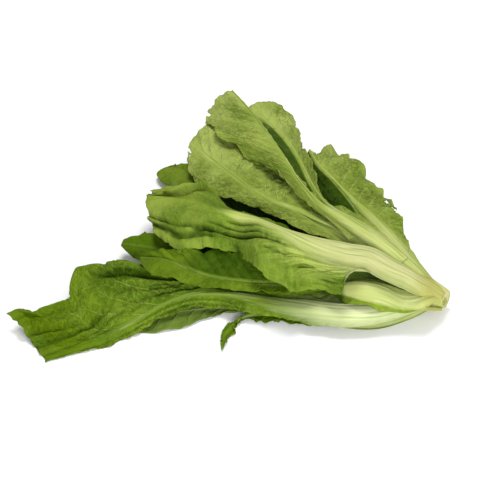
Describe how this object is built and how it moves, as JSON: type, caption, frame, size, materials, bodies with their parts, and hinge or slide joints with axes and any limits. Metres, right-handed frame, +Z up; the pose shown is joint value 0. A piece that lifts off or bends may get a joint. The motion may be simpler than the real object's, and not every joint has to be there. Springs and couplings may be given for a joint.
{
  "type": "chinese mustard greens",
  "caption": "Picked head of chinese mustard greens lying on its side, leafy stalks fanned out from a cut crown.",
  "frame": {"origin": "on the surface it lies on, under the middle of its box", "axes": "+Z up, +X from the leaf tips towards the cut crown, -Y the near side"},
  "size_m": [0.4416, 0.3932, 0.077],
  "materials": {
    "crown": "moist pale green stump, brownish at the cut",
    "leaf_face": "satin dark green leaf face with sunken pale veins",
    "leaf_back": "matt pale green leaf back with raised veins and pale fleshy stalk",
    "leaf_heart": "pale yellow-green fleshy inner stalk"
  },
  "bodies": {
    "root": {"crown": "crown", "leaf_under_far": "leaf_face", "leaf_under_near": "leaf_back", "leaf_torn": "leaf_face", "leaf_low_mid": "leaf_face", "leaf_far_right": "leaf_back", "leaf_long_near": "leaf_face", "leaf_low_back": "leaf_face", "leaf_upper_right": "leaf_back", "leaf_upper_left": "leaf_back", "leaf_upper_mid": "leaf_back", "leaf_scoop": "leaf_face", "leaf_heart": "leaf_heart", "leaf_centre": "leaf_back"}
  },
  "joints": []
}
